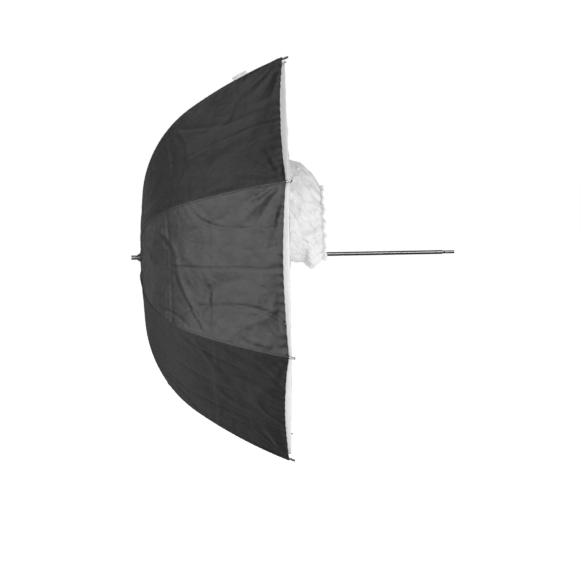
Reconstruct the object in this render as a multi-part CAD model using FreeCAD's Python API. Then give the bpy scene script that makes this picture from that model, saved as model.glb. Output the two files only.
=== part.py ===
"""An umbrella reflector with eight bending ribs, a white front diffuser and a sleeve for a flash head.

The shaft lies along X. The crown is at the low end and the end that a holder grips is at the high end.
"Along" is measured from the circle on which the ribs hinge, and "out" from the shaft's axis.
Rib parts are drawn in the plane y = 0 and turned about the shaft to their places.
"""

import FreeCAD, Part
import math
import os

Vector = FreeCAD.Vector
CENTRE = Vector(0, 0, 0)
ALONG_SHAFT = Vector(1, 0, 0)
ACROSS = Vector(0, 1, 0)
UP = Vector(0, 0, 1)

# ---- Whole object, in millimetres and degrees ----
RIB_COUNT = 8
HALF_STEP = 180.0 / RIB_COUNT  # from a rib to the middle of the cloth gore beside it
CLAMP_AT = 473.0  # where a holder grips the shaft, which is the model's origin
HALF_STEP_COS = math.cos(math.radians(HALF_STEP))
HALF_STEP_SIN = math.sin(math.radians(HALF_STEP))

# ---- Shaft and its ends ----
SHAFT_R = 4.0
SHAFT_BORE_R = 3.1
SHAFT_FROM = -20.0
SHAFT_TO = 606.0
CRIMP_FROM, CRIMP_TO = 402.0, 405.0  # a rolled ring, where the length for the holder begins
CRIMP_DEPTH = 0.35
FERRULE_R = 4.5
FERRULE_FROM = -27.0
COLLAR_R = 9.0
COLLAR_FROM = -14.5
CLOTH_AT = -6.6  # outer face of the cloth where the collar presses on it
PLUG_FROM, PLUG_TO = 586.0, 631.0
PLUG_PIN_AT = 611.0
PLUG_PIN_R = 1.2

# ---- Crown notch and runner: slotted rings that the ribs and stretchers hinge in ----
HINGE_OUT = 12.0  # radius of both wires
WIRE_R = 0.6
EYE_R = 2.2
EYE_WIDTH = 3.6
EYE_HOLE_R = 0.9
NOTCH_R = 15.0
SLOT_FLOOR = 9.3
SLOT_WIDTH = 4.4
SLOT_ROOM = 2.5  # between a wire and the closed side of its slots
NOTCH_FROM, NOTCH_TO = -5.0, 6.0
RUNNER_BORE_R = 4.3
RUNNER_TUBE_R = 6.5
RUNNER_TUBE_LENGTH = 48.0
RUNNER_HEAD_HALF = 5.5

# ---- Ribs: a chain of arcs, each with its length and its angle to the shaft at its start and end ----
ROD_R = 1.6
RIB_RUNS = [(130.0, 90.0, 84.0), (120.0, 84.0, 58.0), (95.0, 58.0, 36.0), (205.0, 36.0, 23.0)]
INNER_FLEX = 250.0  # distance along the rib of its two flexing places
OUTER_FLEX = 345.0
RIB_LENGTH = sum(run[0] for run in RIB_RUNS)
FLEX_R = 1.8  # the ball that the next length of rib turns about
FLEX_GAP = 0.4
FLEX_STUB = 5.0  # straight rod on each side of it
TIP_R = 2.25
TIP_LENGTH = 15.0
TIP_OVERLAP = 5.0
TIP_GAP = 0.15

# ---- Stretchers and the lugs that they hinge on ----
STRETCHER_R = 1.5
LUG_AT = 238.0
LUG_DROP = 8.0
LUG_THICK = 1.2
LUG_HOLE_R = 0.85
RIVET_R = 0.8
FORK_GAP = 0.4
FORK_CHEEK = 0.9
FORK_REACH = 7.0
FORK_R = 2.2

# ---- Top catch: a sprung wedge in a slot of the shaft, on its underside ----
CATCH_GAP = 0.6
CATCH_WIDTH = 1.6
CATCH_SLOT_WIDTH = 2.2
CATCH_TOP = 6.4
CATCH_LENGTH = 14.5
CATCH_LEAF = 30.0

# ---- Cloth ----
CLOTH_THICK = 1.0
CLOTH_OFF_ROD = 2.6  # from a rib's middle to the cloth's inner face
GORE_STOPS = [45, 88, 130, 158, 184, 210, 236, 262, 288, 316, 345, 400, 455, 505, 547]
CROWN_HOLE_OUT = 6.0
CROWN_FLAT_OUT = 19.0
HEM_HOLLOW = 9.0  # how far the hem curves back between two ribs
SEAM_GAP = 0.25
DIFFUSER_OUT = 416.0
DIFFUSER_AT = 290.0
DIFFUSER_HEM = 7.0  # how far the front cloth turns back towards the canopy
HEM_THICK = 3.0
SLEEVE_BASE_R, SLEEVE_BASE_UP = 105.0, 91.0
SLEEVE_MOUTH_R, SLEEVE_MOUTH_UP = 72.0, 64.0
SLEEVE_TO = 356.0
ELASTIC_R = 2.5
STRAP_AT = 459.0  # distance along the rib of the strap's middle
STRAP_SIZE = (28.0, 1.2, 7.0)
STRAP_FOOT = CLOTH_OFF_ROD + CLOTH_THICK + 0.4


def place(along, out):
    """A point in the plane y = 0."""
    return Vector(along - CLAMP_AT, 0, out)


def spun(shape, angle):
    """The shape turned about the shaft."""
    turned = shape.copy()
    turned.rotate(CENTRE, ALONG_SHAFT, angle)
    return turned


def fused(shapes):
    """One clean solid from shapes that touch."""
    return shapes[0].fuse(shapes[1:]).removeSplitter()


def ring(along_from, along_to, outer, inner=0.0):
    """A round disc or tube on the shaft's axis."""
    made = Part.makeCylinder(outer, along_to - along_from, place(along_from, 0), ALONG_SHAFT)
    if inner:
        made = made.cut(Part.makeCylinder(inner, along_to - along_from, place(along_from, 0), ALONG_SHAFT))
    return made


def cross_pin(point, radius, width):
    """A cylinder across the rib's plane, centred on a point."""
    return Part.makeCylinder(radius, width, point - ACROSS * (width / 2), ACROSS)


def straight_rod(start, end, radius):
    return Part.makeCylinder(radius, (end - start).Length, start, end - start)


def plate(points, width):
    """A flat plate in the rib's plane, centred on it."""
    outline = Part.makePolygon([p - ACROSS * (width / 2) for p in points + points[:1]])
    return Part.Face(outline).extrude(ACROSS * width)


def wire_ring(along):
    return Part.makeTorus(HINGE_OUT, WIRE_R, place(along, 0), ALONG_SHAFT)


# ---- The rib's line ----


def run_end(run, start, distance):
    """The place (along, out) and angle at a distance along an arc that starts at a place."""
    length, first, last = run
    bend = math.radians(last - first) / length
    begin = math.radians(first)
    angle = begin + bend * distance
    along = start[0] + (math.sin(angle) - math.sin(begin)) / bend
    out = start[1] - (math.cos(angle) - math.cos(begin)) / bend
    return (along, out), angle


def rib_line(distance):
    """The place and angle at a distance along the rib."""
    at, angle = (0.0, HINGE_OUT), math.radians(RIB_RUNS[0][1])
    for run in RIB_RUNS:
        if distance <= run[0]:
            return run_end(run, at, distance)
        at, angle = run_end(run, at, run[0])
        distance -= run[0]
    return (at[0] + distance * math.cos(angle), at[1] + distance * math.sin(angle)), angle


def rib_place(distance, outward=0.0):
    """A point beside the rib's line, outward of it in its plane."""
    (along, out), angle = rib_line(distance)
    return place(along - outward * math.sin(angle), out + outward * math.cos(angle))


def rib_direction(distance):
    angle = rib_line(distance)[1]
    return Vector(math.cos(angle), 0, math.sin(angle))


def rib_rod(begin, end):
    """The round rod between two distances along the rib, as one torus piece for each arc."""
    pieces = []
    run_begin = 0.0
    for length, first, last in RIB_RUNS:
        low, high = max(begin, run_begin), min(end, run_begin + length)
        if low < high:
            turn = (first - last) / length
            arc_radius = 1 / math.radians(turn)
            section = Part.Face(Part.Wire(Part.makeCircle(ROD_R, rib_place(low), rib_direction(low))))
            pieces.append(section.revolve(rib_place(low, -arc_radius), ACROSS, turn * (high - low)))
        run_begin += length
    return fused(pieces) if len(pieces) > 1 else pieces[0]


# ---- Places that the joints use ----
LUG_PLACE = rib_place(LUG_AT, -LUG_DROP)
RIB_HINGE = place(0, HINGE_OUT)
RUNNER_HINGE = Vector(2 * LUG_PLACE.x - RIB_HINGE.x, 0, HINGE_OUT)  # the stretcher is as long as hinge to lug
RUNNER_AT = RUNNER_HINGE.x + CLAMP_AT
RUNNER_TO = RUNNER_AT + RUNNER_HEAD_HALF + RUNNER_TUBE_LENGTH
CATCH_FROM = RUNNER_TO + CATCH_GAP
RIB_ANGLES = [HALF_STEP * (2 * i + 1) for i in range(RIB_COUNT)]


# ---- Sub-parts ----


def eye(point):
    return cross_pin(point, EYE_R, EYE_WIDTH)


def eye_hole(point):
    return cross_pin(point, EYE_HOLE_R, 2 * EYE_WIDTH)


def flex_stub(distance, side, rounding, end_angle):
    """The straight end of rod on one side of a flexing place, as a turned solid.

    Its end is an arc about the flexing place, from the rod's side to its axis: out to angle 0, ahead of the rod,
    for a ball, and back to angle pi, inside the rod, for a socket.
    """
    joined = rib_place(distance + side * FLEX_STUB)
    forward = rib_direction(distance + side * FLEX_STUB) * -side

    def at(run, out):
        return joined + forward * run + ACROSS * out

    def on_arc(angle):
        return at(FLEX_STUB + rounding * math.cos(angle), rounding * math.sin(angle))

    edge_angle = math.pi - math.asin(ROD_R / rounding)
    end, edge = on_arc(end_angle), on_arc(edge_angle)
    arc = Part.Arc(end, on_arc((end_angle + edge_angle) / 2), edge).toShape()
    outline = Part.Wire([arc] + Part.makePolygon([edge, at(0, ROD_R), joined, end]).Edges)
    return Part.Face(outline).revolve(joined, forward, 360)


def flex_ball(distance):
    return flex_stub(distance, -1, FLEX_R, 0.0)


def flex_socket(distance):
    return flex_stub(distance, 1, FLEX_R + FLEX_GAP, math.pi)


def rib_inner():
    """The rib from the crown's wire to its first flexing place, with the lug for the stretcher."""
    side = rib_direction(LUG_AT) * FORK_R
    root = rib_place(LUG_AT)
    web = plate([root - side * 2, root + side * 2, LUG_PLACE + side, LUG_PLACE - side], LUG_THICK)
    lug = cross_pin(LUG_PLACE, FORK_R, LUG_THICK)
    rod = fused([rib_rod(0, INNER_FLEX - FLEX_STUB), flex_ball(INNER_FLEX), eye(RIB_HINGE), web, lug])
    return rod.cut([eye_hole(RIB_HINGE), cross_pin(LUG_PLACE, LUG_HOLE_R, 2 * LUG_THICK)])


def rib_mid():
    rod = rib_rod(INNER_FLEX + FLEX_STUB, OUTER_FLEX - FLEX_STUB)
    return fused([rod, flex_socket(INNER_FLEX), flex_ball(OUTER_FLEX)])


def rib_outer():
    """The last length of the rib, and the metal tip that is pushed over its end."""
    rod = fused([rib_rod(OUTER_FLEX + FLEX_STUB, RIB_LENGTH), flex_socket(OUTER_FLEX)])
    direction = rib_direction(RIB_LENGTH)
    begin = rib_place(RIB_LENGTH) - direction * TIP_OVERLAP
    tip = Part.makeCylinder(TIP_R, TIP_LENGTH, begin, direction)
    far = [e for e in tip.Edges if isinstance(e.Curve, Part.Circle)]
    far.sort(key=lambda e: (e.Curve.Center - begin).Length)
    tip = tip.makeFillet(TIP_R / 2, far[-1:])
    socket = Part.makeCylinder(ROD_R + TIP_GAP, TIP_OVERLAP + TIP_GAP, begin, direction)
    return [rod, tip.cut(socket)]


def stretcher():
    """A round rod with an eye on the runner's wire and a riveted fork over the rib's lug."""
    line = LUG_PLACE - RUNNER_HINGE
    line.normalize()
    side = Vector(-line.z, 0, line.x) * FORK_R
    neck = LUG_PLACE - line * FORK_REACH
    width = LUG_THICK + 2 * FORK_GAP + 2 * FORK_CHEEK
    block = fused([plate([neck - side, LUG_PLACE - side, LUG_PLACE + side, neck + side], width),
                   cross_pin(LUG_PLACE, FORK_R, width)])
    slot_half = side * 2
    slot_end = LUG_PLACE + line * 2 * FORK_R
    slot_begin = LUG_PLACE - line * (FORK_REACH - FORK_R)
    slot = plate([slot_begin - slot_half, slot_end - slot_half, slot_end + slot_half,
                  slot_begin + slot_half], LUG_THICK + 2 * FORK_GAP)
    rod = fused([straight_rod(RUNNER_HINGE, neck, STRETCHER_R), eye(RUNNER_HINGE), block.cut(slot)])
    rivet = cross_pin(LUG_PLACE, RIVET_R, width + 2 * FORK_GAP)
    return [rod.cut([eye_hole(RUNNER_HINGE), rivet]), rivet]


def slotted(body, along, open_to):
    """Slots for the eyes about a wire. open_to is the end of the body that they run out of."""
    low, high = sorted([along + math.copysign(SLOT_ROOM, along - open_to), open_to])
    slot = Part.makeBox(high - low, SLOT_WIDTH, NOTCH_R, place(low, SLOT_FLOOR) - ACROSS * (SLOT_WIDTH / 2))
    return body.cut([spun(slot, angle) for angle in RIB_ANGLES] + [wire_ring(along)])


def crown_notch():
    return slotted(ring(NOTCH_FROM, NOTCH_TO, NOTCH_R, SHAFT_R), 0.0, NOTCH_TO)


def runner():
    head_from, head_to = RUNNER_AT - RUNNER_HEAD_HALF, RUNNER_AT + RUNNER_HEAD_HALF
    body = fused([ring(head_from, head_to, NOTCH_R), ring(head_to, RUNNER_TO, RUNNER_TUBE_R)])
    grip = ring(RUNNER_TO - 3, RUNNER_TO, RUNNER_TUBE_R + 1)
    body = fused([body, grip]).cut(ring(head_from, RUNNER_TO, RUNNER_BORE_R))
    return slotted(body, RUNNER_AT, head_from)


def shaft_tube():
    tube = ring(SHAFT_FROM, SHAFT_TO, SHAFT_R, SHAFT_BORE_R)
    crimp = ring(CRIMP_FROM, CRIMP_TO, SHAFT_R + 1, SHAFT_R - CRIMP_DEPTH)
    slot = Part.makeBox(CATCH_LENGTH + 2 * CATCH_GAP, CATCH_SLOT_WIDTH, 2 * SHAFT_R,
                        place(CATCH_FROM - CATCH_GAP, -2 * SHAFT_R) - ACROSS * (CATCH_SLOT_WIDTH / 2))
    return tube.cut([crimp, slot])


def top_catch():
    """A wedge that stops the runner, on a leaf that lies in the shaft's bore."""
    leaf_low, leaf_high = -(SHAFT_BORE_R - 0.2), -(SHAFT_BORE_R - 0.9)
    nose = CATCH_FROM + 2
    foot = CATCH_FROM + CATCH_LENGTH
    profile = [(CATCH_FROM, leaf_high), (CATCH_FROM, -CATCH_TOP), (nose, -CATCH_TOP), (foot, leaf_low),
               (foot + CATCH_LEAF, leaf_low), (foot + CATCH_LEAF, leaf_high)]
    return plate([place(along, out) for along, out in profile], CATCH_WIDTH)


def ferrule():
    """A metal cap on the shaft's crown end, with a shallow dish in its end face."""
    body = ring(FERRULE_FROM, CLOTH_AT, FERRULE_R).cut(ring(SHAFT_FROM, CLOTH_AT, SHAFT_R))
    edge = [e for e in body.Edges if isinstance(e.Curve, Part.Circle) and e.Curve.Center.x < SHAFT_FROM - CLAMP_AT - 1]
    body = body.makeFillet(1.2, edge)
    return body.cut(Part.makeSphere(6.0, place(FERRULE_FROM - 5.2, 0)))


def ferrule_collar():
    """A cone that presses the cloth against the crown notch."""
    cone = Part.makeCone(FERRULE_R + 0.8, COLLAR_R, CLOTH_AT - COLLAR_FROM - 1.5, place(COLLAR_FROM, 0), ALONG_SHAFT)
    body = fused([cone, ring(CLOTH_AT - 1.5, CLOTH_AT, COLLAR_R)])
    return body.cut(ring(COLLAR_FROM, CLOTH_AT, FERRULE_R))


def shaft_end_plug():
    """A thinner plug in the open end of the shaft, and the small pin through it."""
    plug = ring(PLUG_FROM, PLUG_TO, SHAFT_BORE_R)
    edge = [e for e in plug.Edges if isinstance(e.Curve, Part.Circle) and e.Curve.Center.x > PLUG_TO - CLAMP_AT - 1]
    plug = plug.makeFillet(1.4, edge)
    pin = cross_pin(place(PLUG_PIN_AT, 0), PLUG_PIN_R, 2 * SHAFT_BORE_R + 1.0)
    return [plug.cut(pin), pin]


def beside(points, distance):
    """A polyline of (along, out) places moved outward by a distance."""
    moved = []
    for i, (along, out) in enumerate(points):
        before, after = points[max(i - 1, 0)], points[min(i + 1, len(points) - 1)]
        run, rise = after[0] - before[0], after[1] - before[1]
        size = math.hypot(run, rise)
        moved.append((along - distance * rise / size, out + distance * run / size))
    return moved


def canopy_gore():
    """The cloth between two ribs, drawn about the plane y = 0: flat across, and curved as the ribs are."""
    inner = [(CLOTH_AT + CLOTH_THICK, CROWN_HOLE_OUT), (CLOTH_AT + CLOTH_THICK, CROWN_FLAT_OUT)]
    for stop in GORE_STOPS:
        point = rib_place(stop, CLOTH_OFF_ROD)
        inner.append((point.x + CLAMP_AT, point.z))
    inner = [(along, out * HALF_STEP_COS) for along, out in inner]
    outline = [place(*p) for p in inner + beside(inner, CLOTH_THICK)[::-1]]
    sheet = plate(outline, 2 * DIFFUSER_OUT)
    reach = 2 * DIFFUSER_OUT
    apex = SEAM_GAP / HALF_STEP_SIN
    side = reach * HALF_STEP_SIN / HALF_STEP_COS
    start = -60.0 - CLAMP_AT
    wedge = Part.Face(Part.makePolygon([Vector(start, 0, apex), Vector(start, side, apex + reach),
                                        Vector(start, -side, apex + reach), Vector(start, 0, apex)]))
    gore = sheet.common(wedge.extrude(ALONG_SHAFT * reach))
    hem = rib_place(GORE_STOPS[-1], CLOTH_OFF_ROD)
    half = hem.z * HALF_STEP_SIN
    edge = Part.Arc(Vector(hem.x, -half, 0), Vector(hem.x - HEM_HOLLOW, 0, 0), Vector(hem.x, half, 0)).toShape()
    corners = [Vector(hem.x, half, 0), Vector(hem.x, reach, 0), Vector(hem.x + reach, reach, 0),
               Vector(hem.x + reach, -reach, 0), Vector(hem.x, -reach, 0), Vector(hem.x, -half, 0)]
    cutter = Part.Face(Part.Wire([edge] + Part.makePolygon(corners).Edges)).extrude(UP * reach)
    return gore.cut(cutter)


def sector(radius, along_from, along_to):
    """A slab from the middle of one gore to the middle of the next, about a rib in the plane y = 0."""
    apex = SEAM_GAP / HALF_STEP_SIN
    start = along_from - CLAMP_AT
    across = radius * HALF_STEP_COS * HALF_STEP_SIN
    up = radius * HALF_STEP_COS * HALF_STEP_COS
    corners = [Vector(start, 0, apex), Vector(start, across, up + apex), Vector(start, 0, radius),
               Vector(start, -across, up + apex), Vector(start, 0, apex)]
    return Part.Face(Part.makePolygon(corners)).extrude(ALONG_SHAFT * (along_to - along_from))


def diffuser_panel(angle):
    """One eighth of the front cloth, with the hem that turns back to the ribs and the opening for the sleeve."""
    panel = sector(DIFFUSER_OUT, DIFFUSER_AT - DIFFUSER_HEM, DIFFUSER_AT + CLOTH_THICK)
    hollow = sector(DIFFUSER_OUT - HEM_THICK, DIFFUSER_AT - DIFFUSER_HEM, DIFFUSER_AT)
    opening = Part.makeCylinder(SLEEVE_BASE_R, 4 * DIFFUSER_HEM,
                                place(DIFFUSER_AT - 2 * DIFFUSER_HEM, SLEEVE_BASE_UP), ALONG_SHAFT)
    return spun(panel.cut(hollow), angle).cut(opening)


def sleeve_circle(share, shrink):
    """A circle of the sleeve, a share of the way from the diffuser to the mouth."""
    radius = SLEEVE_BASE_R + (SLEEVE_MOUTH_R - SLEEVE_BASE_R) * share - shrink
    up = SLEEVE_BASE_UP + (SLEEVE_MOUTH_UP - SLEEVE_BASE_UP) * share
    begin = DIFFUSER_AT + 1.5 * CLOTH_THICK
    return Part.Wire(Part.makeCircle(radius, place(begin + (SLEEVE_TO - begin) * share, up), ALONG_SHAFT))


def diffuser_sleeve():
    outer = Part.makeLoft([sleeve_circle(0, 0), sleeve_circle(1, 0)], True, True)
    inner = Part.makeLoft([sleeve_circle(0, CLOTH_THICK), sleeve_circle(1, CLOTH_THICK)], True, True)
    return outer.cut(inner)


def sleeve_elastic():
    at = place(SLEEVE_TO + ELASTIC_R, SLEEVE_MOUTH_UP)
    return Part.makeTorus(SLEEVE_MOUTH_R - 1, ELASTIC_R, at, ALONG_SHAFT)


def tie_strap():
    """The short closing strap, which stands on edge along the first rib's seam."""
    length, thick, tall = STRAP_SIZE
    strap = Part.makeBox(length, thick, tall, Vector(-length / 2, -thick / 2, 0))
    strap.rotate(CENTRE, ACROSS, -math.degrees(rib_line(STRAP_AT)[1]))
    strap.translate(rib_place(STRAP_AT, STRAP_FOOT))
    return spun(strap, RIB_ANGLES[0])


# ---- Files ----
os.makedirs("parts", exist_ok=True)


def save(name, solids):
    solids = solids if isinstance(solids, list) else [solids]
    shape = Part.makeCompound(solids) if len(solids) > 1 else solids[0]
    for solid in shape.Solids:
        if not solid.isValid():
            print("not valid:", name)
    print(f"{name}: {len(shape.Solids)} solid(s), {shape.Volume:.0f} mm3")
    shape.exportStep(f"parts/{name}.step")


save("shaft_tube", shaft_tube())
save("shaft_end_plug", shaft_end_plug())
save("ferrule", ferrule())
save("ferrule_collar", ferrule_collar())
save("crown_notch", crown_notch())
save("crown_wire", wire_ring(0.0))
save("runner", runner())
save("runner_wire", wire_ring(RUNNER_AT))
save("top_catch", top_catch())
save("tie_strap", tie_strap())
save("diffuser_sleeve", diffuser_sleeve())
save("sleeve_elastic", sleeve_elastic())

inner_length, mid_length, outer_length = rib_inner(), rib_mid(), rib_outer()
one_stretcher, one_gore = stretcher(), canopy_gore()
for number, rib_angle in enumerate(RIB_ANGLES, start=1):
    save(f"rib_inner_{number}", spun(inner_length, rib_angle))
    save(f"rib_mid_{number}", spun(mid_length, rib_angle))
    save(f"rib_outer_{number}", [spun(solid, rib_angle) for solid in outer_length])
    save(f"stretcher_{number}", [spun(solid, rib_angle) for solid in one_stretcher])
    save(f"canopy_gore_{number}", spun(one_gore, rib_angle + HALF_STEP))
    save(f"diffuser_panel_{number}", diffuser_panel(rib_angle))
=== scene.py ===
# %% [markdown]
# # An umbrella reflector with a white front
#
# The object is a deep photographic umbrella. Black cloth lined with white is stretched over eight ribs, a
# white front cloth closes its open side, and a baggy white sleeve in that front holds a flash head. This
# lesson dresses the hard frame that the CAD model gives with cloth and finishes. Everything is in metres,
# and the shaft lies along X.

# %% Load the frame
import bpy
import math
import numpy as np
from mathutils import Matrix, Vector


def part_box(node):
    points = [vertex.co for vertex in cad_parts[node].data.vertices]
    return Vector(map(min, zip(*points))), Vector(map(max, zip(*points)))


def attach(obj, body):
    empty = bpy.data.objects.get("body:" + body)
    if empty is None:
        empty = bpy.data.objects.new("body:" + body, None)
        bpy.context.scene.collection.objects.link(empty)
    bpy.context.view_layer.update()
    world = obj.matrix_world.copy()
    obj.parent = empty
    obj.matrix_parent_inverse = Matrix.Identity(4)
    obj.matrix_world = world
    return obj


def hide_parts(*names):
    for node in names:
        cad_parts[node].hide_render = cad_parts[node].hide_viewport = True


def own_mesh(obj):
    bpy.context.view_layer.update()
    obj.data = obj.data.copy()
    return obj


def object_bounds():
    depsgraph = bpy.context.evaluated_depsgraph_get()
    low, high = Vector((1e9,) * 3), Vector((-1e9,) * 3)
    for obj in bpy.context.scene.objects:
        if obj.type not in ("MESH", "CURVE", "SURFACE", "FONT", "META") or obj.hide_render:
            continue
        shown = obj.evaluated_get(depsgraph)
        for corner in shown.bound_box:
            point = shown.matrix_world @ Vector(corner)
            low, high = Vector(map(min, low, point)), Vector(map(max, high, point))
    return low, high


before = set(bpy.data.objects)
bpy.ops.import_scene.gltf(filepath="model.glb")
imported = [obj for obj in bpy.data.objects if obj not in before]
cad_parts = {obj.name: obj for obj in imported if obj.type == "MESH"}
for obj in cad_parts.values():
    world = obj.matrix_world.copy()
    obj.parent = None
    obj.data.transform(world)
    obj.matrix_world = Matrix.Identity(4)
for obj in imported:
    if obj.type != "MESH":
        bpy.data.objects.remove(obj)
cad_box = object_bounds()

# %% [markdown]
# The camera comes first, because every later choice is judged through it. It stands beside the umbrella,
# a little above the shaft, with a long lens, so that the canopy shows almost in profile. Its direction is
# written as two angles and a small roll, and its matrix is put together from its right, up and backward
# directions.

# %% Camera
LOOK_AT = Vector((-0.178, 0.0, -0.072))
CAMERA_AWAY = 4.0
CAMERA_TURN, CAMERA_RISE, CAMERA_ROLL = math.radians(0.74), math.radians(5.09), math.radians(0.99)
LENS_MM = 121.8

ahead = math.cos(CAMERA_RISE)
forward = Vector((math.sin(CAMERA_TURN) * ahead, math.cos(CAMERA_TURN) * ahead, -math.sin(CAMERA_RISE)))
level = forward.cross(Vector((0, 0, 1))).normalized()
above = level.cross(forward)
right = level * math.cos(CAMERA_ROLL) - above * math.sin(CAMERA_ROLL)
upward = level * math.sin(CAMERA_ROLL) + above * math.cos(CAMERA_ROLL)
lens = bpy.data.cameras.new("side_camera")
lens.lens = LENS_MM
camera = bpy.data.objects.new("side_camera", lens)
bpy.context.scene.collection.objects.link(camera)
camera.matrix_world = (Matrix.Translation(LOOK_AT - forward * CAMERA_AWAY)
                       @ Matrix((right, upward, -forward)).transposed().to_4x4())
bpy.context.scene.camera = camera
print("camera at", [round(x, 3) for x in camera.matrix_world.translation])

# %% [markdown]
# A finish is a node tree, and its sums are easier to read as Python. `Value` wraps the output of a node,
# and adding or multiplying two of them adds a Math node. Any other node comes from `Graph.node`, which
# makes the node's settings first and then fills or links its sockets. `Finish` is the graph of one
# material.


# %% Shader sums and finishes
class Value:
    """One output of a node. Sums written with it add Math nodes to its graph."""

    def __init__(self, graph, socket):
        self.graph = graph
        self.socket = socket

    def math(self, operation, first, second=0.0):
        return self.graph.node("ShaderNodeMath", {"operation": operation}, {0: first, 1: second})

    def __add__(self, other):
        return self.math("ADD", self, other)

    def __radd__(self, other):
        return self.math("ADD", other, self)

    def __sub__(self, other):
        return self.math("SUBTRACT", self, other)

    def __rsub__(self, other):
        return self.math("SUBTRACT", other, self)

    def __mul__(self, other):
        return self.math("MULTIPLY", self, other)

    def __rmul__(self, other):
        return self.math("MULTIPLY", other, self)

    def __pow__(self, other):
        return self.math("POWER", self, other)


class Graph:
    """A node tree that is built up node by node."""

    def __init__(self, tree):
        self.tree = tree
        self.tree.nodes.clear()

    def node(self, kind, settings=None, inputs=None, output=0):
        """Adds a node, makes its settings, fills or links its sockets and gives one of its outputs."""
        made = self.tree.nodes.new(kind)
        for name, value in (settings or {}).items():
            setattr(made, name, value)
        for key, value in (inputs or {}).items():
            if isinstance(value, Value):
                self.tree.links.new(value.socket, made.inputs[key])
            else:
                made.inputs[key].default_value = value
        return Value(self, made.outputs[output]) if made.outputs else None


class Finish(Graph):
    """A material, with the few patterns that all finishes here are made of."""

    def __init__(self, name):
        self.material = bpy.data.materials.new(name)
        self.material.use_nodes = True
        super().__init__(self.material.node_tree)

    def place(self, stretch=(1, 1, 1)):
        """The place on the piece, in its own frame, stretched along its axes."""
        where = self.node("ShaderNodeTexCoord", output="Object")
        return self.node("ShaderNodeMapping", None, {"Vector": where, "Scale": stretch})

    def clouds(self, scale, detail=3.0, where=None):
        """Soft random values about 0.5."""
        inputs = {"Vector": where or self.place(), "Scale": scale, "Detail": detail}
        return self.node("ShaderNodeTexNoise", None, inputs)

    def between(self, share, first, second):
        """A colour part of the way between two, which are colours or values of this finish."""
        first, second = (c if isinstance(c, Value) else (*c, 1.0) for c in (first, second))
        return self.node("ShaderNodeMix", {"data_type": "RGBA"}, {"Factor": share, 6: first, 7: second}, 2)

    def relief(self, height, depth, strength=1.0, under=None):
        """A bump of that depth in metres, on top of another one."""
        inputs = {"Height": height, "Distance": depth, "Strength": strength}
        if under:
            inputs["Normal"] = under
        return self.node("ShaderNodeBump", None, inputs)

    def surface(self, colour, roughness, normal=None, **constants):
        """A Principled shader. The keyword names are its socket names with _ for spaces."""
        inputs = {"Base Color": colour, "Roughness": roughness}
        if normal:
            inputs["Normal"] = normal
        inputs.update({key.replace("_", " "): value for key, value in constants.items()})
        return self.node("ShaderNodeBsdfPrincipled", None, inputs)

    def done(self, shader):
        self.node("ShaderNodeOutputMaterial", None, {"Surface": shader})
        return self.material


# %% [markdown]
# Dark cloth only shows its folds when a broad light grazes it, and white cloth only keeps its folds when
# it isn't lit from everywhere at once. So the camera sees a white surround that lights the object only
# weakly, and large soft panels do the rest: a key to the left of the camera, whose reflection runs along
# the canopy, a slim one beyond the crown, a fill above the camera, one above, one below and one at the
# front of the umbrella. The surround is dim in reflections, so polished metal gets its dark edges. The
# plain "Standard" view keeps white white.

# %% Studio
WHITE = (1, 1, 1, 1)
FLOOR_UNDER = 0.30
FLOOR_REACH = 30
SURROUND_SEEN, SURROUND_FILL, SURROUND_MIRRORED = 1.0, 0.38, 0.05
FLOOR_GREY = (0.9, 0.9, 0.9, 1.0)
FLOOR_GLOW = 0.70
floor_z = cad_box[0][2] - FLOOR_UNDER

world = bpy.data.worlds.new("studio")
world.use_nodes = True
bpy.context.scene.world = world
bpy.context.scene.view_settings.view_transform = "Standard"
air = Graph(world.node_tree)
seen = air.node("ShaderNodeLightPath", output="Is Camera Ray")
filled = air.node("ShaderNodeLightPath", output="Is Diffuse Ray")
strength = seen * (SURROUND_SEEN - SURROUND_MIRRORED) + filled * (SURROUND_FILL - SURROUND_MIRRORED)
strength = strength + SURROUND_MIRRORED
background = air.node("ShaderNodeBackground", None, {"Color": WHITE, "Strength": strength})
air.node("ShaderNodeOutputWorld", None, {"Surface": background})


def soft_panel(name, place, towards, size, watts, tall=None):
    """An area light that faces a point. It is a square of that size, or a rectangle if tall is given."""
    light = bpy.data.lights.new(name, "AREA")
    light.shape = "RECTANGLE"
    light.size, light.size_y = size, tall or size
    light.energy = watts
    panel = bpy.data.objects.new(name, light)
    bpy.context.scene.collection.objects.link(panel)
    panel.location = place
    panel.rotation_euler = (Vector(towards) - Vector(place)).to_track_quat("-Z", "Y").to_euler()
    panel.visible_camera = False


MIDDLE = (-0.3, 0.0, 0.0)
soft_panel("key_panel", (-2.72, -1.95, 0.15), MIDDLE, 2.9, 84, 2.1)
soft_panel("crown_panel", (-2.75, 1.25, 0.0), MIDDLE, 2.2, 3.5, 0.5)
soft_panel("fill_panel", (0.4, -2.9, 1.1), MIDDLE, 1.3, 28)
soft_panel("panel_above", (-1.7, 0.65, 2.2), MIDDLE, 1.7, 8.5)
soft_panel("panel_below", (-1.5, 0.50, -1.2), MIDDLE, 1.2, 1.8)
soft_panel("panel_front", (2.2, -0.9, 0.8), MIDDLE, 1.2, 14)

paper = Finish("pale_floor")
floor_mesh = bpy.data.meshes.new("floor")
corner_ways = ((-1, -1), (1, -1), (1, 1), (-1, 1))
floor_corners = [(x * FLOOR_REACH, y * FLOOR_REACH, floor_z) for x, y in corner_ways]
floor_mesh.from_pydata(floor_corners, [], [(0, 1, 2, 3)])
matt_paper = paper.surface(FLOOR_GREY, 0.9, Emission_Color=WHITE, Emission_Strength=FLOOR_GLOW)
floor_mesh.materials.append(paper.done(matt_paper))
floor = bpy.data.objects.new("floor", floor_mesh)
bpy.context.scene.collection.objects.link(floor)
floor.visible_glossy = False
print("floor height", round(floor_z, 3), "lights", len(bpy.data.lights))

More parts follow.
